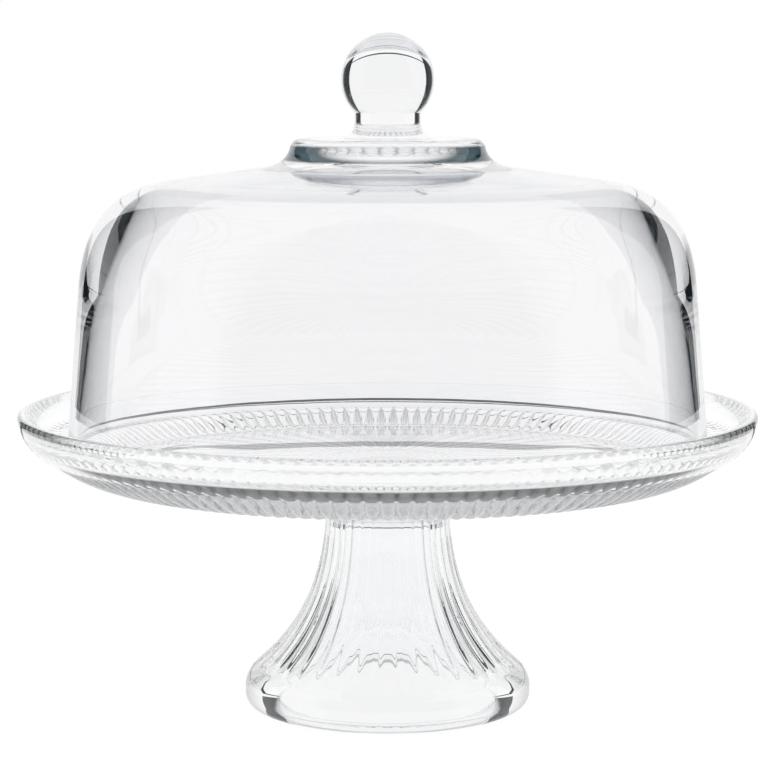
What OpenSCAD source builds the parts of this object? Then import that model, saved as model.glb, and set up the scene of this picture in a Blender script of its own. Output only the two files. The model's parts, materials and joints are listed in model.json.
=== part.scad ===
// Footed cake stand with a lift-off dome, in clear pressed glass.
// The stand is a plate with a sunk floor on a hollow fluted foot; the dome is a bell with a ball knob.
// Origin: the middle of the foot's resting ring, +Z up, millimetres.

/* [Plate] */
// Diameter over the rim
plate_d = 325; // [300:1:345]
// Height of the rim's crest above the table
rim_z = 133; // [129:0.5:138]
// Thickness of the rounded rim
rim_t = 4.4; // [3:0.2:6]
// Diameter over the outside of the flat seat that the dome stands on
seat_outer_d = 301; // [296:1:305]
// Diameter of the seat's inner edge
seat_inner_d = 256; // [240:1:262]
// Height of the seat above the table
seat_z = 122; // [119:0.5:125]
// Diameter of the sunk floor
floor_d = 238; // [200:1:240]
// Height of the floor's upper face above the table
floor_z = 115.5; // [108:0.5:118]
// Thickness of the floor
floor_t = 9; // [5:0.5:10]
// Diameter over the outside of the band of ribs under the plate
band_outer_d = 300; // [290:1:304]
// Diameter of the band's lowest ring
band_low_d = 254; // [240:1:262]
// How far the band's outer edge stands above its lowest ring
band_h = 10.4; // [6:0.2:12]
// How far the band's lowest ring hangs below the floor's underside
band_drop = 2.9; // [0:0.1:4]

/* [Foot] */
// Diameter over the foot
foot_d = 126.8; // [110:0.4:140]
// Height of the foot's widest part above the table
foot_bulge_z = 8; // [6:0.5:11]
// Radius of the rounded edge that the foot stands on
foot_edge_r = 6.5; // [3:0.5:8]
// Width of the flat ring that rests on the table
foot_ring_w = 4; // [2:0.5:6]
// Diameter of the stem at its waist
stem_d = 54.6; // [46:0.4:60]
// Thickness of the stem's wall
stem_wall = 5.8; // [4:0.2:8]
// Height at which the hollow inside the foot closes
hollow_top_z = 94; // [80:1:98]

/* [Dome] */
// Diameter over the bottom edge
dome_d = 281; // [270:1:290]
// Height of the dome from its bottom edge to the collar's edge
dome_h = 116.4; // [100:0.2:130]
// Thickness of the wall at the bottom edge
wall_t = 4.6; // [3:0.2:6]
// Thickness of the crown, the dome's top
crown_t = 7; // [5:0.5:8]
// How far the outside leans in, millimetres for each millimetre of height
wall_lean = 0.08; // [0.04:0.002:0.1]
// How far the inside leans in, so that the wall grows heavier upwards
inner_lean = 0.12; // [0.08:0.005:0.15]
// Fall of the crown, millimetres for each millimetre of radius
crown_fall = 0.141; // [0.08:0.005:0.18]
// Gap under the bottom edge, so that dome and seat stay separate bodies
seat_gap = 0.2; // [0.1:0.1:0.3]

/* [Collar and knob] */
// Diameter of the collar's flat top
collar_top_d = 78; // [70:1:84]
// Height of the collar above the crown at its edge
collar_h = 13.3; // [10:0.1:16]
// Radius of the rounded corner round the collar's top
collar_corner_r = 4.5; // [3:0.5:6]
// Diameter over the sweep where the collar runs out into the crown
collar_sweep_d = 119.2; // [110:0.4:124]
// Diameter of the ball knob
ball_d = 40.8; // [34:0.4:46]
// Height of the ball's centre above the collar
ball_rise = 25.7; // [23:0.1:30]
// Diameter of the knob's neck
neck_d = 29; // [22:0.5:32]
// Radius of the sweep from the neck out to the collar
neck_sweep = 7; // [3:0.5:8]

/* [Hidden] */
glass_tint = [0.84, 0.9, 0.9, 0.5];
$fn = 96;
// Steps along an arc or a curve in an outline
arc_steps = 10;
curve_steps = 14;

underside_z = floor_z - floor_t;
band_z = underside_z - band_drop;
plate_r = plate_d / 2;
foot_r = foot_d / 2;
stem_r = stem_d / 2;
dome_r = dome_d / 2;
dome_z = seat_z + seat_gap;
crown_z = dome_z + dome_h - seat_gap;
sweep_r = collar_sweep_d / 2;
collar_r = collar_top_d / 2;
collar_z = crown_z + collar_h;
neck_r = neck_d / 2;
ball_r = ball_d / 2;
ball_z = collar_z + ball_rise;

// Points on an arc about c from angle a0 to a1
function arc(c, r, a0, a1) =
    [for (i = [0:arc_steps]) let (a = a0 + (a1 - a0) * i / arc_steps) c + r * [cos(a), sin(a)]];

// Points on a smooth bend that leaves a towards the corner b and arrives at c, without its first point
function bend(a, b, c) =
    [for (i = [1:curve_steps]) let (t = i / curve_steps) (1 - t) * (1 - t) * a + 2 * t * (1 - t) * b + t * t * c];

// Points on a longer sweep from a to d that is drawn towards b and then c, without its first point
function sweep(a, b, c, d) =
    [for (i = [1:curve_steps]) let (t = i / curve_steps, s = 1 - t)
        s * s * s * a + 3 * s * s * t * b + 3 * s * t * t * c + t * t * t * d];

// A turned solid from an outline of [radius, height] points
module turned(outline) {
    rotate_extrude() polygon(outline);
}

// Plate: the sunk floor, the flat seat for the dome, the flared rim and the ribbed band below
module plate() {
    rim_r = rim_t / 2;
    rim_centre = [plate_r - rim_r, rim_z - rim_r];
    floor_edge = [floor_d / 2, floor_z];
    seat_inner = [seat_inner_d / 2, seat_z];
    seat_outer = [seat_outer_d / 2, seat_z];
    band_outer = [band_outer_d / 2, band_z + band_h];
    band_low = [band_low_d / 2, band_z];
    band_flat = 2.5;
    band_inset = 9.5;
    band_inner = band_low - [band_flat, 0];
    underside_edge = [band_low[0] - band_inset, underside_z];
    corner = 3.5;
    slope = (seat_inner - floor_edge) / norm(seat_inner - floor_edge);
    flare_bottom = rim_centre + rim_r * [cos(-28), sin(-28)];
    color(glass_tint) turned(concat(
        [[0, floor_z], floor_edge - [corner, 0]],
        bend(floor_edge - [corner, 0], floor_edge, floor_edge + corner * slope),
        [seat_inner - corner * slope],
        bend(seat_inner - corner * slope, seat_inner, seat_inner + [corner, 0]),
        [seat_outer - [corner, 0]],
        bend(seat_outer - [corner, 0], seat_outer, seat_outer + corner * [0.75, 0.66]),
        arc(rim_centre, rim_r, 125, -28),
        bend(flare_bottom, [plate_r - 1.5, band_outer[1] + 5.5], band_outer),
        bend(band_outer, [(band_outer[0] + band_low[0]) / 2 - 0.5, band_z + 1.6], band_low),
        [band_inner],
        bend(band_inner, band_inner - [corner, 0], underside_edge),
        [[0, underside_z]]
    ));
}

// Pedestal: the hollow trumpet foot, fused to the plate's underside
module pedestal() {
    shoulder_r = 12;
    shoulder_a = 49;
    shoulder_centre = [foot_r - shoulder_r, foot_bulge_z + 1];
    shoulder_start = shoulder_centre + shoulder_r * [cos(shoulder_a), sin(shoulder_a)];
    ring_outer = foot_r - foot_edge_r;
    ring_inner = ring_outer - foot_ring_w;
    inner_edge_r = 3;
    waist = [stem_r, underside_z - 12];
    inner_waist = [stem_r - stem_wall, hollow_top_z - 14];
    inner_foot = [ring_inner - 5, 14];
    color(glass_tint) turned(concat(
        [[0, underside_z], [stem_r, underside_z], waist],
        sweep(waist, waist - [0, 38], shoulder_start + [-20.4, 17.7], shoulder_start),
        arc(shoulder_centre, shoulder_r, shoulder_a, 0),
        arc([foot_r - foot_edge_r, foot_edge_r], foot_edge_r, 0, -90),
        arc([ring_inner, inner_edge_r], inner_edge_r, -90, -160),
        [inner_foot],
        sweep(inner_foot, inner_foot + [-13, 14], inner_waist - [0, 32], inner_waist),
        bend(inner_waist, [inner_waist[0], hollow_top_z], [0, hollow_top_z])
    ));
}

// Dome: the bell, its walls thickening towards the crown, with the collar that carries the knob
module dome() {
    edge_r = 1.2;
    // Where the outer and inner bends of the shoulder end, out from the axis and down from the crown
    crown_edge_r = 98;
    ceiling_edge_r = 90;
    shoulder_drop = 50;
    inner_shoulder_drop = 73;
    corner_drop = 10;
    inner_corner_drop = 4;
    shoulder_z = crown_z - shoulder_drop;
    outer_shoulder = [dome_r - wall_lean * (shoulder_z - dome_z), shoulder_z];
    crown_edge = [crown_edge_r, crown_z - crown_fall * (crown_edge_r - sweep_r)];
    corner_r = dome_r - wall_lean * (crown_z - corner_drop - dome_z);
    outer_corner = [corner_r, crown_z - crown_fall * (corner_r - sweep_r)];
    inner_shoulder_z = crown_z - inner_shoulder_drop;
    inner_shoulder = [dome_r - wall_t - inner_lean * (inner_shoulder_z - dome_z), inner_shoulder_z];
    inner_edge = [ceiling_edge_r, crown_edge[1] - crown_t + crown_fall * (crown_edge_r - ceiling_edge_r)];
    inner_corner_z = inner_edge[1] - inner_corner_drop;
    inner_corner = [dome_r - wall_t - inner_lean * (inner_corner_z - dome_z), inner_corner_z];
    inner_top = [collar_r, inner_edge[1] + crown_fall * (ceiling_edge_r - collar_r)];
    side_start = [collar_r + collar_corner_r * 0.85, collar_z - collar_corner_r + 1];
    color(glass_tint) turned(concat(
        [[0, collar_z], [collar_r - 1, collar_z]],
        bend([collar_r - 1, collar_z], [collar_r + collar_corner_r * 0.6, collar_z], side_start),
        bend(side_start, [collar_r + 5.5, crown_z + 1], [sweep_r, crown_z]),
        [crown_edge],
        bend(crown_edge, outer_corner, outer_shoulder),
        [[dome_r, dome_z + edge_r]],
        arc([dome_r - edge_r, dome_z + edge_r], edge_r, 0, -90),
        arc([dome_r - wall_t + edge_r, dome_z + edge_r], edge_r, -90, -180),
        [inner_shoulder],
        bend(inner_shoulder, inner_corner, inner_edge),
        [inner_top],
        bend(inner_top, [collar_r / 2, inner_top[1] + 1], [0, inner_top[1] + 1])
    ));
}

// Knob: the solid ball on its neck, fused to the collar
module knob() {
    sweep_c = [neck_r + neck_sweep, collar_z + neck_sweep];
    meet = asin(neck_r / ball_r);
    color(glass_tint) turned(concat(
        [[0, collar_z], [neck_r + neck_sweep, collar_z]],
        arc(sweep_c, neck_sweep, 270, 180),
        [for (a = [meet - 90 : (180 - meet) / (3 * arc_steps) : 90.01])
            [max(0, ball_r * cos(a)), ball_z + ball_r * sin(a)]]
    ));
}

plate();
pedestal();
dome();
knob();
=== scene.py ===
import json
import math
from collections import namedtuple

import bpy
import numpy as np
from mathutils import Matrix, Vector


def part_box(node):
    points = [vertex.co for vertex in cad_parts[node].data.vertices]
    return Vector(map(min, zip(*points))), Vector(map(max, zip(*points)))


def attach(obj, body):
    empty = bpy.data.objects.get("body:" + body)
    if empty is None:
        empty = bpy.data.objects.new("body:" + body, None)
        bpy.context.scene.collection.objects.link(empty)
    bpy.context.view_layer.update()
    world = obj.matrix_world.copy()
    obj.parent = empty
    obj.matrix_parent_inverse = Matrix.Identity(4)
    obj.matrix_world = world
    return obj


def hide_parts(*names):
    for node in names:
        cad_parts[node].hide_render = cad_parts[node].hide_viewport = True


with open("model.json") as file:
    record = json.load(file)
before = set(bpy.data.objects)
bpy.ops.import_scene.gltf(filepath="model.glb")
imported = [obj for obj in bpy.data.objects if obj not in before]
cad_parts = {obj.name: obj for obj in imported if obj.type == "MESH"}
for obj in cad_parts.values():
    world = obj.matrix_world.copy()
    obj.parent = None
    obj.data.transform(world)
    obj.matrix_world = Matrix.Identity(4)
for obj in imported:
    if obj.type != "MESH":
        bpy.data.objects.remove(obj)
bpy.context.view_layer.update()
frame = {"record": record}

record = frame["record"]

# ---------------------------------------------------------------------------
# The plate. One heavy disc of pressed glass: a rounded rim, a flat seat for the
# dome, a sunk floor, and on the underside a band of rounded ribs and a burst of
# shallow rays round the plain disc where the pedestal is fused on.

plate_low, plate_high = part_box("plate")
dome_low, dome_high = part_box("dome")
foot_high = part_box("pedestal")[1]
SEAT_GAP = 0.0002
plate_radius = plate_high.x
rim_z = plate_high.z
underside_z = foot_high.z
band_z = plate_low.z
seat_z = dome_low.z - SEAT_GAP
floor_z = next(m for m in record["mounts"] if m["name"] == "cake_plate")["pos_m"][2]

RIM_THICKNESS = 0.0044
RIM_FROM, RIM_TO = 125, -28
SEAT_OUTER = 0.1505
SEAT_INNER = 0.128
SEAT_TURN_UP = (0.75, 0.66)
FLOOR_RADIUS = 0.119
FILLET = 0.0035
FLARE_BULGE_IN, FLARE_BULGE_UP = 0.0015, 0.0055
BAND_OUTER = 0.150
BAND_LOW = 0.127
BAND_RISE = 0.0104
BAND_BULGE_IN, BAND_BULGE_UP = 0.0005, 0.0016
BAND_FLAT = 0.0025
BAND_INSET = 0.0095
STEM_RADIUS = 0.0273
RIB_COUNT = 144
RIB_DEPTH = 0.0016
RIB_ROUNDNESS = 0.8
RIB_FADE_IN = 0.15
RIB_FADE_UP = 0.0014
RAY_COUNT = 48
RAY_DEPTH = 0.0016
RAY_OUTER = 0.1125
RAY_INNER = 0.031
RAY_RUNOUT = 0.001
RAY_FULL_FROM = 0.06
STEPS_PER_RIB = 8
HAIR = 0.0001
SHARP_EDGE = 38
band_top_z = band_z + BAND_RISE
rib_top_z = band_top_z + RIB_FADE_UP


def point(r, z):
    return np.array((r, z), float)


def arc(centre, radius, start, end, steps=10):
    """Points on an arc of an outline, its angles in degrees."""
    angles = np.radians(np.linspace(start, end, steps + 1))
    return [centre + radius * point(math.cos(a), math.sin(a)) for a in angles]


def bend(a, corner, b, steps=12):
    """Points on a soft corner between a and b, without a itself."""
    along = np.linspace(0, 1, steps + 1)[1:]
    return [(1 - t) ** 2 * a + 2 * t * (1 - t) * corner + t * t * b for t in along]


def sweep(a, b, c, d, steps=24):
    """Points on a long sweep from a to d, drawn towards b and then c, without a itself."""
    return [(1 - t) ** 3 * a + 3 * (1 - t) ** 2 * t * b + 3 * (1 - t) * t * t * c + t ** 3 * d
            for t in np.linspace(0, 1, steps + 1)[1:]]


def straight(a, b, steps):
    """Evenly spaced points on a straight line from a to b, without a itself."""
    return [a + (b - a) * t for t in np.linspace(0, 1, steps + 1)[1:]]


def turn(name, outline, around, relief=None, seam=None):
    """A closed mesh turned about the upright axis from an outline of [radius, height] points that starts
    and ends on the axis. relief(r, z, angles) is how deep the surface is cut in there, and seam(r, z) is
    true where the face is the hidden joint to the next piece of glass."""
    rings = outline[1:-1]
    angles = np.arange(around) * 2 * math.pi / around
    along = np.gradient(np.array(outline), axis=0)[1:-1]
    along /= np.linalg.norm(along, axis=1)[:, None]
    verts = [(0, 0, outline[0][1])]
    for (r, z), (dr, dz) in zip(rings, along):
        cut = relief(r, z, angles) if relief else np.zeros(around)
        radius = r + cut * dz
        height = z - cut * dr
        verts += np.column_stack((radius * np.cos(angles), radius * np.sin(angles), height)).tolist()
    verts.append((0, 0, outline[-1][1]))
    last = len(verts) - 1
    last_ring = 1 + (len(rings) - 1) * around
    faces = []
    for i in range(around):
        j = (i + 1) % around
        faces.append((0, 1 + i, 1 + j))
        for a in range(1, last_ring, around):
            b = a + around
            faces.append((a + i, b + i, b + j, a + j))
        faces.append((last_ring + i, last, last_ring + j))
    mesh = bpy.data.meshes.new(name)
    mesh.from_pydata(verts, [], faces)
    mesh.validate()
    mesh.shade_smooth()
    mesh.set_sharp_from_angle(angle=math.radians(SHARP_EDGE))
    obj = bpy.data.objects.new(name, mesh)
    bpy.context.scene.collection.objects.link(obj)
    if seam:
        hidden = [int(seam(math.hypot(p.center.x, p.center.y), p.center.z)) for p in mesh.polygons]
        mesh.polygons.foreach_set("material_index", hidden)
    return obj


class Bench:
    """A new material's node tree, with the few kinds of node that the glass and the tent are made of."""

    def __init__(self, name):
        self.material = bpy.data.materials.new(name)
        self.material.use_nodes = True
        self.nodes = self.material.node_tree.nodes
        self.links = self.material.node_tree.links
        self.shader = self.nodes["Principled BSDF"]

    def put(self, value, socket):
        """Set a socket to a number or a colour, or link it to another node's output."""
        if isinstance(value, (int, float)):
            socket.default_value = value
        elif isinstance(value, tuple):
            socket.default_value = (*value, 1)
        else:
            self.links.new(value, socket)

    def place(self):
        """The place on the piece: the whole vector, and its x, y and z."""
        place = self.nodes.new("ShaderNodeTexCoord").outputs["Object"]
        parts = self.nodes.new("ShaderNodeSeparateXYZ")
        self.put(place, parts.inputs["Vector"])
        return place, *parts.outputs

    def reckon(self, kind, *values):
        node = self.nodes.new("ShaderNodeMath")
        node.operation = kind
        for socket, value in zip(node.inputs, values):
            self.put(value, socket)
        return node.outputs["Value"]

    def ramp(self, value, start, end, before=0.0, after=1.0):
        """A soft step from before to after, while value goes from start to end."""
        node = self.nodes.new("ShaderNodeMapRange")
        node.interpolation_type = "SMOOTHSTEP"
        self.put(value, node.inputs["Value"])
        self.put(start, node.inputs["From Min"])
        self.put(end, node.inputs["From Max"])
        self.put(before, node.inputs["To Min"])
        self.put(after, node.inputs["To Max"])
        return node.outputs["Result"]

    def blend(self, factor, a, b):
        node = self.nodes.new("ShaderNodeMix")
        node.data_type = "RGBA"
        for given, name in ((factor, "Factor"), (a, "A"), (b, "B")):
            self.put(given, node.inputs[name])
        return node.outputs["Result"]

    def noise(self, place, scale, detail):
        node = self.nodes.new("ShaderNodeTexNoise")
        node.inputs["Scale"].default_value = scale
        node.inputs["Detail"].default_value = detail
        self.put(place, node.inputs["Vector"])
        return node.outputs["Fac"]


# A thick part of the glass: between the heights low and high, outside the radius inner. Its tint is partly
# the deeper colour of thick glass and partly painted shade, near black in places. turning gives the two
# steps, from face on at 0 to edge on at 1, between which its tint comes in, so the painted shade is deepest
# edge on, and None is for a tint all over. The last field is how far painted lighter stripes at the ribs
# break the tint up.
Heavy = namedtuple("Heavy", "low high inner tint turning ribbing", defaults=(None, 0.0))

GLASS_IOR = 1.52
TINT_DRIFT_SCALE, TINT_DRIFT_DETAIL = 14, 2
WAVE_SCALE, WAVE_DETAIL, WAVE_HEIGHT = 45, 1, 0.001
TINT_EDGE = 0.0005


def glass(name, tint, deep_tint, waviness, heavy_parts_with_shade):
    """Clear soda glass: a faint tint that drifts a little through the piece, and the soft waves that a
    mould leaves in the surface. The heavy parts get a darker tint on their outside, so that it counts once
    on
    the way through: partly the deeper colour of a long way through thick glass, and partly painted shade,
    near black in places and deepest edge on, with painted lighter stripes at the ribs."""
    bench = Bench(name)
    reckon, ramp = bench.reckon, bench.ramp
    bench.shader.inputs["Transmission Weight"].default_value = 1.0
    bench.shader.inputs["IOR"].default_value = GLASS_IOR
    bench.shader.inputs["Roughness"].default_value = 0.0
    place, x, y, z = bench.place()
    backfacing = bench.nodes.new("ShaderNodeNewGeometry").outputs["Backfacing"]
    facing = bench.nodes.new("ShaderNodeLayerWeight").outputs["Facing"]
    shade = bench.blend(bench.noise(place, TINT_DRIFT_SCALE, TINT_DRIFT_DETAIL), tint, deep_tint)
    radius = reckon("SQRT", reckon("ADD", reckon("POWER", x, 2.0), reckon("POWER", y, 2.0)))
    from_outside = reckon("SUBTRACT", 1.0, backfacing)
    # The rib pattern, which places the painted lighter stripes.
    ribs = reckon("ABSOLUTE", reckon("COSINE", reckon("MULTIPLY", reckon("ARCTAN2", y, x), RIB_COUNT / 2)))
    # Painted shade: each heavy part darkens the outside colour of the glass in its zone, deeper edge on,
    # broken up by painted lighter stripes at the ribs.
    for part in heavy_parts_with_shade:
        shares = [ramp(z, part.low - TINT_EDGE, part.low + TINT_EDGE),
                  ramp(z, part.high + TINT_EDGE, part.high - TINT_EDGE),
                  ramp(radius, part.inner - TINT_EDGE, part.inner + TINT_EDGE)]
        if part.turning:
            shares.append(ramp(facing, *part.turning))
        if part.ribbing:
            shares.append(reckon("SUBTRACT", 1.0, reckon("MULTIPLY", ribs, part.ribbing)))
        share = from_outside
        for factor in shares:
            share = reckon("MULTIPLY", share, factor)
        shade = bench.blend(share, shade, part.tint)
    bench.put(shade, bench.shader.inputs["Base Color"])
    bump = bench.nodes.new("ShaderNodeBump")
    bump.inputs["Strength"].default_value = waviness
    bump.inputs["Distance"].default_value = WAVE_HEIGHT
    bench.put(bench.noise(place, WAVE_SCALE, WAVE_DETAIL), bump.inputs["Height"])
    bench.put(bump.outputs["Normal"], bench.shader.inputs["Normal"])
    return bench.material


def fused_joint():
    """The hidden face where two pieces were fused hot: glass on both sides, so there is nothing to see."""
    bench = Bench("fused_joint")
    bench.shader.inputs["Base Color"].default_value = (1, 1, 1, 1)
    bench.shader.inputs["Alpha"].default_value = 0.0
    return bench.material


# The heavy parts, partly thick-glass colour and partly painted shade: the flare above the band of ribs (a
# near-black painted band, deepest edge on), the band itself (painted grey shade under the plate), the rim's
# outer skin (a near-black painted line edge on, with painted lighter rib stripes), and the foot (painted
# shade on its sides, seen edge on)
stand_glass = glass("stand_glass", (0.965, 0.968, 0.972), (0.945, 0.950, 0.956), 0.03, [
    Heavy(band_top_z + 0.0004, band_top_z + 0.0060, 0.1485, (0.003, 0.0045, 0.006), (0.82, 0.71), 0.05),
    Heavy(band_z - 0.001, band_top_z + 0.0004, 0.1265, (0.30, 0.315, 0.325)),
    Heavy(rim_z - 0.0040, rim_z + 0.001, plate_radius - 0.0012, (0.006, 0.008, 0.010), (0.40, 0.62), 0.12),
    Heavy(0.001, band_z - 0.001, 0.0, (0.16, 0.165, 0.17), (0.45, 0.95)),
])
joint_glass = fused_joint()

rim_round = RIM_THICKNESS / 2
rim_centre = point(plate_radius - rim_round, rim_z - rim_round)
floor_edge = point(FLOOR_RADIUS, floor_z)
seat_inner = point(SEAT_INNER, seat_z)
seat_outer = point(SEAT_OUTER, seat_z)
flare_bulge = point(plate_radius - FLARE_BULGE_IN, band_top_z + FLARE_BULGE_UP)
band_outer = point(BAND_OUTER, band_top_z)
band_bulge = point((BAND_OUTER + BAND_LOW) / 2 - BAND_BULGE_IN, band_z + BAND_BULGE_UP)
band_low = point(BAND_LOW, band_z)
band_inner = band_low - point(BAND_FLAT, 0)
underside_edge = point(BAND_LOW - BAND_INSET, underside_z)
slope = (seat_inner - floor_edge) / np.linalg.norm(seat_inner - floor_edge)
level = point(FILLET, 0)
plate_outline = [point(0, floor_z)]
plate_outline += straight(plate_outline[-1], floor_edge - level, 3)
plate_outline += bend(floor_edge - level, floor_edge, floor_edge + FILLET * slope, 5)
plate_outline += straight(plate_outline[-1], seat_inner - FILLET * slope, 2)
plate_outline += bend(plate_outline[-1], seat_inner, seat_inner + level, 5)
plate_outline += straight(plate_outline[-1], seat_outer - level, 2)
plate_outline += bend(plate_outline[-1], seat_outer, seat_outer + FILLET * point(*SEAT_TURN_UP), 4)
plate_outline += arc(rim_centre, rim_round, RIM_FROM, RIM_TO, 9)
plate_outline += bend(plate_outline[-1], flare_bulge, band_outer, 7)
plate_outline += bend(band_outer, band_bulge, band_low, 14)
plate_outline += straight(band_low, band_inner, 1)
plate_outline += bend(band_inner, band_inner - level, underside_edge, 5)
plate_outline += straight(plate_outline[-1], point(RAY_OUTER, underside_z), 1)
plate_outline += straight(plate_outline[-1], point(RAY_INNER, underside_z), 8)
plate_outline += [point(r, underside_z) for r in (RAY_INNER - RAY_RUNOUT, STEM_RADIUS, 0)]


def plate_relief(r, z, angles):
    """The grooves between the ribs, and the rays cut into the underside of the floor."""
    cut = np.zeros(len(angles))
    if band_inner[0] - HAIR < r < plate_radius - rim_round and z < rib_top_z:
        run = max(0, (r - band_inner[0]) / (BAND_OUTER - band_inner[0]))
        fade = min(1, run / RIB_FADE_IN, max(0, rib_top_z - z) / RIB_FADE_UP)
        cut += RIB_DEPTH * fade * (1 - np.abs(np.cos(RIB_COUNT / 2 * angles)) ** RIB_ROUNDNESS)
    if RAY_INNER - HAIR < r < RAY_OUTER + HAIR and z < underside_z + HAIR:
        cut += RAY_DEPTH * (0.5 + 0.5 * np.cos(RAY_COUNT * angles)) * min(1, r / RAY_FULL_FROM)
    return cut


def at_stem_joint(r, z):
    return r < STEM_RADIUS - HAIR and abs(z - underside_z) < HAIR


plate = turn("cake_plate", plate_outline, RIB_COUNT * STEPS_PER_RIB, plate_relief, at_stem_joint)
plate.data.materials.append(stand_glass)
plate.data.materials.append(joint_glass)
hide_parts("plate")
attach(plate, "stand")

# ---------------------------------------------------------------------------
# The pedestal. A hollow trumpet of the same pressed glass, with long flutes that
# end in round finger tips above a smooth edge. Its top is fused to the plate.

STEM_WALL = 0.0058
FOOT_BULGE_Z = 0.008
FOOT_EDGE = 0.0065
FOOT_RING = 0.004
SHOULDER_ROUND = 0.012
SHOULDER_TURN = 49
SHOULDER_RISE = 0.001
SHOULDER_PULL = (-0.0204, 0.0177)
WAIST_DROP = 0.012
WAIST_PULL = 0.038
HOLLOW_TOP = 0.094
HOLLOW_WAIST_DROP = 0.014
HOLLOW_WAIST_PULL = 0.032
HOLLOW_FOOT_IN, HOLLOW_FOOT_Z = 0.005, 0.014
HOLLOW_FOOT_PULL = (-0.013, 0.014)
INNER_EDGE = 0.003
INNER_EDGE_TO = -160
FLUTE_COUNT = 36
FLUTE_DEPTH = 0.0005
FLUTE_FULL_DEPTH_AT = 0.035
FLUTE_DEEPEST = 1.3
FLUTE_STEPS = 24
FLUTE_TIP_Z = 0.0205
FLUTE_TIP_LENGTH = 0.008
FLUTE_TOP_GAP = 0.0005
THINNEST_WALL = 0.004
STEM_SLACK = 0.001
JOINT_RING = 0.6
foot_radius = foot_high.x
foot_top = foot_high.z

shoulder_centre = point(foot_radius - SHOULDER_ROUND, FOOT_BULGE_Z + SHOULDER_RISE)
shoulder = arc(shoulder_centre, SHOULDER_ROUND, SHOULDER_TURN, 0, 10)
waist = point(STEM_RADIUS, foot_top - WAIST_DROP)
ring_outer = foot_radius - FOOT_EDGE
ring_inner = ring_outer - FOOT_RING
inner_waist = point(STEM_RADIUS - STEM_WALL, HOLLOW_TOP - HOLLOW_WAIST_DROP)
inner_foot = point(ring_inner - HOLLOW_FOOT_IN, HOLLOW_FOOT_Z)
inner_edge = arc(point(ring_inner, INNER_EDGE), INNER_EDGE, -90, INNER_EDGE_TO, 5)
hollow = inner_edge[-1:]
hollow += straight(hollow[-1], inner_foot, 3)
hollow += sweep(inner_foot, inner_foot + point(*HOLLOW_FOOT_PULL), inner_waist - point(0, HOLLOW_WAIST_PULL),
                inner_waist, 24)
hollow += bend(inner_waist, point(inner_waist[0], HOLLOW_TOP), point(0, HOLLOW_TOP), 10)
pedestal_outline = [point(r, foot_top) for r in (0, STEM_RADIUS * JOINT_RING, STEM_RADIUS)]
pedestal_outline += straight(pedestal_outline[-1], waist, 4)
pedestal_outline += sweep(waist, waist - point(0, WAIST_PULL), shoulder[0] + point(*SHOULDER_PULL),
                          shoulder[0], 44)
pedestal_outline += shoulder[1:]
pedestal_outline += arc(point(ring_outer, FOOT_EDGE), FOOT_EDGE, 0, -90, 8)
pedestal_outline += inner_edge[:-1]
pedestal_outline += hollow
hollow_radii, hollow_heights = np.array(hollow).T


def pedestal_relief(r, z, angles):
    """The hollow of each flute, fading to a round tip above the foot's smooth edge."""
    tip = (z - FLUTE_TIP_Z) / FLUTE_TIP_LENGTH + 0.5
    inner = np.interp(z, hollow_heights, hollow_radii)
    outside = r > STEM_RADIUS - STEM_SLACK and r > inner + THINNEST_WALL
    if not outside or tip <= 0 or z > foot_top - FLUTE_TOP_GAP:
        return np.zeros(len(angles))
    across = ((angles * FLUTE_COUNT / (2 * math.pi) + 0.5) % 1 - 0.5) * 2
    scoop = np.clip(min(1, tip) - across ** 2, 0, 1)
    return FLUTE_DEPTH * min(FLUTE_DEEPEST, r / FLUTE_FULL_DEPTH_AT) * scoop * scoop * (3 - 2 * scoop)


def at_plate_joint(r, z):
    return abs(z - foot_top) < HAIR


pedestal = turn("fluted_pedestal", pedestal_outline, FLUTE_COUNT * FLUTE_STEPS, pedestal_relief,
                at_plate_joint)
pedestal.data.materials.append(stand_glass)
pedestal.data.materials.append(joint_glass)
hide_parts("pedestal")
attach(pedestal, "stand")

# ---------------------------------------------------------------------------
# The dome. A thick bell of clear glass whose wall grows heavier towards the
# crown, with a round collar on top that takes the knob.

WALL = 0.0046
CROWN = 0.007
WALL_LEAN = 0.080
INNER_LEAN = 0.12
CROWN_FALL = 0.141
CROWN_EDGE = 0.098
CEILING_EDGE = 0.090
CEILING_DOMING = 0.001
SHOULDER_DROP = 0.050
INNER_SHOULDER_DROP = 0.073
CORNER_DROP = 0.010
INNER_CORNER_DROP = 0.0040
COLLAR_RADIUS = 0.039
COLLAR_HEIGHT = 0.0133
COLLAR_CORNER = 0.0045
COLLAR_FOOT_OUT = 0.0055
COLLAR_TOP_OUT, COLLAR_SIDE_OUT = 0.6, 0.85
COLLAR_EASE = 0.001
SWEEP_RADIUS = 0.0596
LIP = 0.0012
DOME_STEPS = 512
NECK_RADIUS = 0.0145
NECK_SWEEP = 0.007
knob_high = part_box("knob")[1]
joint_radius = NECK_RADIUS + NECK_SWEEP
dome_radius = dome_high.x
dome_z = dome_low.z
collar_z = dome_high.z
crown_z = collar_z - COLLAR_HEIGHT


def outer_wall(z):
    return dome_radius - WALL_LEAN * (z - dome_z)


def inner_wall(z):
    return dome_radius - WALL - INNER_LEAN * (z - dome_z)


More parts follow.
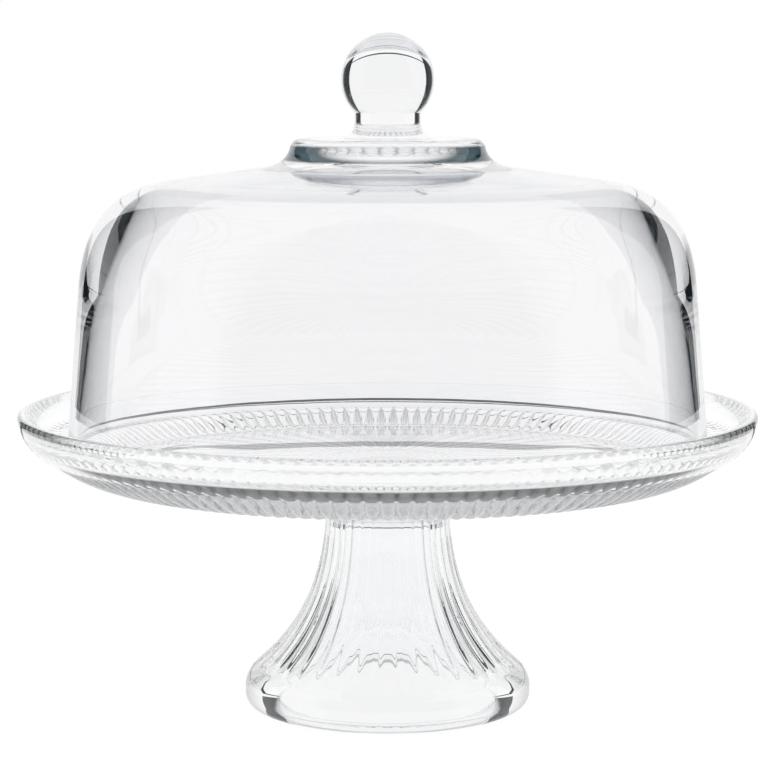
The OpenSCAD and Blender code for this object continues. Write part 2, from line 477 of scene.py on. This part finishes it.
shoulder_z = crown_z - SHOULDER_DROP
outer_shoulder = point(outer_wall(shoulder_z), shoulder_z)
crown_edge = point(CROWN_EDGE, crown_z - CROWN_FALL * (CROWN_EDGE - SWEEP_RADIUS))
corner_radius = outer_wall(crown_z - CORNER_DROP)
outer_corner = point(corner_radius, crown_z - CROWN_FALL * (corner_radius - SWEEP_RADIUS))
inner_shoulder_z = crown_z - INNER_SHOULDER_DROP
inner_shoulder = point(inner_wall(inner_shoulder_z), inner_shoulder_z)
ceiling_edge = point(CEILING_EDGE, crown_edge[1] - CROWN + CROWN_FALL * (CROWN_EDGE - CEILING_EDGE))
inner_corner_z = ceiling_edge[1] - INNER_CORNER_DROP
inner_corner = point(inner_wall(inner_corner_z), inner_corner_z)
inner_top = point(COLLAR_RADIUS, ceiling_edge[1] + CROWN_FALL * (CEILING_EDGE - COLLAR_RADIUS))
ceiling_z = inner_top[1] + CEILING_DOMING
side_start = point(COLLAR_RADIUS + COLLAR_CORNER * COLLAR_SIDE_OUT, collar_z - COLLAR_CORNER + COLLAR_EASE)
collar_corner = point(COLLAR_RADIUS + COLLAR_CORNER * COLLAR_TOP_OUT, collar_z)
collar_foot = point(COLLAR_RADIUS + COLLAR_FOOT_OUT, crown_z + COLLAR_EASE)

dome_outline = [point(0, collar_z), point(joint_radius * 0.5, collar_z), point(joint_radius, collar_z)]
dome_outline += straight(dome_outline[-1], point(COLLAR_RADIUS - COLLAR_EASE, collar_z), 3)
dome_outline += bend(dome_outline[-1], collar_corner, side_start, 12)
dome_outline += bend(side_start, collar_foot, point(SWEEP_RADIUS, crown_z), 16)
dome_outline += straight(dome_outline[-1], crown_edge, 4)
dome_outline += bend(crown_edge, outer_corner, outer_shoulder, 30)
dome_outline += straight(outer_shoulder, point(dome_radius, dome_z + LIP), 6)
dome_outline += arc(point(dome_radius - LIP, dome_z + LIP), LIP, 0, -90, 5)
dome_outline += arc(point(dome_radius - WALL + LIP, dome_z + LIP), LIP, -90, -180, 5)
dome_outline += straight(dome_outline[-1], inner_shoulder, 6)
dome_outline += bend(inner_shoulder, inner_corner, ceiling_edge, 30)
dome_outline += straight(ceiling_edge, inner_top, 4)
dome_outline += bend(inner_top, point(COLLAR_RADIUS / 2, ceiling_z), point(0, ceiling_z), 6)


def at_knob_joint(r, z):
    return r < joint_radius - HAIR and abs(z - collar_z) < HAIR


# The heavy parts, partly thick-glass colour and partly painted shade: the walls (painted shade, darker edge
# on), the crown, the collar's side (near-black painted shade edge on), its top edge (dark slate painted
# shade, edge on), and the knob (a faint darker tint all over)
dome_glass = glass("dome_glass", (0.985, 0.985, 0.990), (0.968, 0.969, 0.977), 0.02, [
    Heavy(dome_z - 0.001, crown_z - 0.009, 0.0, (0.70, 0.71, 0.74), (0.50, 0.95)),
    Heavy(crown_z - 0.009, crown_z + 0.001, 0.02, (0.70, 0.71, 0.745)),
    Heavy(crown_z + 0.004, collar_z - 0.0025, 0.037, (0.010, 0.022, 0.030), (0.12, 0.35)),
    Heavy(collar_z - 0.0015, collar_z + 0.0006, 0.034, (0.06, 0.10, 0.12), (0.7, 0.99)),
    Heavy(collar_z + 0.012, knob_high.z, 0.0, (0.90, 0.905, 0.915)),
])
dome = turn("glass_dome", dome_outline, DOME_STEPS, seam=at_knob_joint)
dome.data.materials.append(dome_glass)
dome.data.materials.append(joint_glass)
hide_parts("dome")
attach(dome, "cover")

# ---------------------------------------------------------------------------
# The knob. A solid ball of glass on a short neck that sweeps out to the collar,
# where it is fused on.

BALL_RADIUS = 0.0204
KNOB_STEPS = 256
ball_z = knob_high.z - BALL_RADIUS
neck_top_z = collar_z + NECK_SWEEP
neck_meets = math.degrees(math.asin(NECK_RADIUS / BALL_RADIUS)) - 90
knob_outline = arc(point(0, ball_z), BALL_RADIUS, 90, neck_meets, 60)
knob_outline += straight(knob_outline[-1], point(NECK_RADIUS, neck_top_z), 4)
knob_outline += arc(point(joint_radius, neck_top_z), NECK_SWEEP, 180, 270, 14)[1:]
knob_outline += [point(joint_radius * 0.5, collar_z), point(0, collar_z)]


def at_collar_joint(r, z):
    return r < joint_radius and abs(z - collar_z) < HAIR


knob = turn("ball_knob", knob_outline, KNOB_STEPS, seam=at_collar_joint)
knob.data.materials.append(dome_glass)
knob.data.materials.append(joint_glass)
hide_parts("knob")
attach(knob, "cover")

# ---------------------------------------------------------------------------
# The studio. A white table in a tent of white cloth that is dimmer on the
# camera's side. Dark cards outside the picture turn with the camera and give the
# glass its dark edges, and a strip behind the table gives it thin dark lines.

CAMERA_DISTANCE = 1.25
CAMERA_HEIGHT = 0.291
CAMERA_PITCH = 6.72
CAMERA_LENS, CAMERA_SENSOR = 133.6, 36
AXIS_OFFSET = 0.0016
LIGHT_BOUNCES = 40
GLOSSY_BOUNCES = 24
TABLE = 0.6
TABLE_GLOW = 0.95
CARD_IN, CARD_OUT = 0.335, 0.9
CARD_LOW, CARD_HIGH = 0.04, 0.8
CARD_BACK = 0.37
STRIP_OUT = 1.6
STRIP_HEIGHT = 0.02
STRIP_BACK = 0.6
TENT_RADIUS = 8.0
TENT_RINGS, TENT_AROUND = 24, 48
TENT_TOP = 89.9
BACK_LIGHT, SIDE_LIGHT, FRONT_LIGHT, TOP_LIGHT = 1.0, 0.88, 0.42, 0.85
SIDE_FROM, FRONT_FROM, TOP_FROM = 62, 118, 38
SOFT = 6

scene = bpy.context.scene
world = bpy.data.worlds.new("studio")
world.use_nodes = True
world.node_tree.nodes["Background"].inputs["Color"].default_value = (1, 1, 1, 1)
world.node_tree.nodes["Background"].inputs["Strength"].default_value = 1.0
scene.world = world

camera_data = bpy.data.cameras.new("camera")
camera_data.sensor_width = CAMERA_SENSOR
camera_data.lens = CAMERA_LENS
camera = bpy.data.objects.new("camera", camera_data)
scene.collection.objects.link(camera)
camera.location = (-AXIS_OFFSET, -CAMERA_DISTANCE, CAMERA_HEIGHT)
camera.rotation_euler = (math.radians(90 - CAMERA_PITCH), 0, 0)
scene.camera = camera
scene.view_settings.view_transform = "Standard"
scene.cycles.max_bounces = LIGHT_BOUNCES
scene.cycles.transmission_bounces = LIGHT_BOUNCES
scene.cycles.transparent_max_bounces = LIGHT_BOUNCES
scene.cycles.glossy_bounces = GLOSSY_BOUNCES
scene.cycles.use_denoising = True

turning_frame = bpy.data.objects.new("turning_frame", None)
scene.collection.objects.link(turning_frame)
follow = turning_frame.constraints.new("COPY_ROTATION")
follow.target = camera
follow.use_x = False
follow.use_y = False


def matt(name, colour):
    """Paint or cloth without a shine."""
    bench = Bench(name)
    bench.shader.inputs["Base Color"].default_value = (*colour, 1)
    bench.shader.inputs["Roughness"].default_value = 0.9
    bench.shader.inputs["Specular IOR Level"].default_value = 0.0
    return bench.material


def set_up(name, corners, faces, material):
    """A board or a cloth of the studio, by its corners."""
    mesh = bpy.data.meshes.new(name)
    mesh.from_pydata(corners, [], faces)
    obj = bpy.data.objects.new(name, mesh)
    obj.data.materials.append(material)
    scene.collection.objects.link(obj)
    return obj


def for_glass_only(obj):
    """Turns with the camera, and shows only through and in the glass."""
    obj.visible_camera = False
    obj.visible_diffuse = False
    obj.visible_shadow = False
    obj.parent = turning_frame


def upright_board(name, x0, x1, y, z0, z1, material):
    """An upright board at depth y for the glass alone to see."""
    corners = [(x0, y, z0), (x1, y, z0), (x1, y, z1), (x0, y, z1)]
    for_glass_only(set_up(name, corners, [(0, 1, 2, 3)], material))


def tent_light():
    """The tent's light: full behind the stand, a little less at the sides and overhead, dim in front."""
    bench = Bench("tent_light")
    bench.nodes.clear()
    _, x, y, z = bench.place()
    turn_away = bench.reckon("DEGREES", bench.reckon("ARCTAN2", bench.reckon("ABSOLUTE", x), y))
    height = bench.reckon("DEGREES", bench.reckon("ARCSINE", bench.reckon("DIVIDE", z, TENT_RADIUS)))
    front = bench.ramp(turn_away, FRONT_FROM - SOFT, FRONT_FROM + SOFT, SIDE_LIGHT, FRONT_LIGHT)
    walls = bench.ramp(turn_away, SIDE_FROM - SOFT, SIDE_FROM + SOFT, BACK_LIGHT, front)
    top = bench.ramp(turn_away, FRONT_FROM - SOFT, FRONT_FROM + SOFT, TOP_LIGHT, FRONT_LIGHT)
    emission = bench.nodes.new("ShaderNodeEmission")
    emission.inputs["Color"].default_value = (1, 1, 1, 1)
    bench.put(bench.ramp(height, TOP_FROM - SOFT, TOP_FROM + SOFT, walls, top), emission.inputs["Strength"])
    surface = bench.nodes.new("ShaderNodeOutputMaterial")
    bench.put(emission.outputs["Emission"], surface.inputs["Surface"])
    return bench.material


white_table = matt("white_table", (0.1, 0.1, 0.1))
white_table.node_tree.nodes["Principled BSDF"].inputs["Emission Color"].default_value = (1, 1, 1, 1)
white_table.node_tree.nodes["Principled BSDF"].inputs["Emission Strength"].default_value = TABLE_GLOW
table_corners = [(-TABLE, -TABLE, 0), (TABLE, -TABLE, 0), (TABLE, TABLE, 0), (-TABLE, TABLE, 0)]
set_up("table", table_corners, [(0, 1, 2, 3)], white_table)

black_card = matt("black_card", (0.012, 0.018, 0.022))
upright_board("left_card", -CARD_IN, -CARD_OUT, CARD_BACK, CARD_LOW, CARD_HIGH, black_card)
upright_board("right_card", CARD_IN, CARD_OUT, CARD_BACK, CARD_LOW, CARD_HIGH, black_card)
upright_board("table_edge_strip", -STRIP_OUT, STRIP_OUT, STRIP_BACK, 0, STRIP_HEIGHT, black_card)

tent_verts = []
for lift in np.radians(np.linspace(-TENT_TOP, TENT_TOP, TENT_RINGS + 1)):
    reach = TENT_RADIUS * math.cos(lift)
    for a in np.arange(TENT_AROUND) * 2 * math.pi / TENT_AROUND:
        tent_verts.append((reach * math.cos(a), reach * math.sin(a), TENT_RADIUS * math.sin(lift)))
tent_faces = []
for k in range(0, TENT_RINGS * TENT_AROUND, TENT_AROUND):
    for i in range(TENT_AROUND):
        j = (i + 1) % TENT_AROUND
        tent_faces.append((k + i, k + j, k + TENT_AROUND + j, k + TENT_AROUND + i))
for_glass_only(set_up("tent", tent_verts, tent_faces, tent_light()))
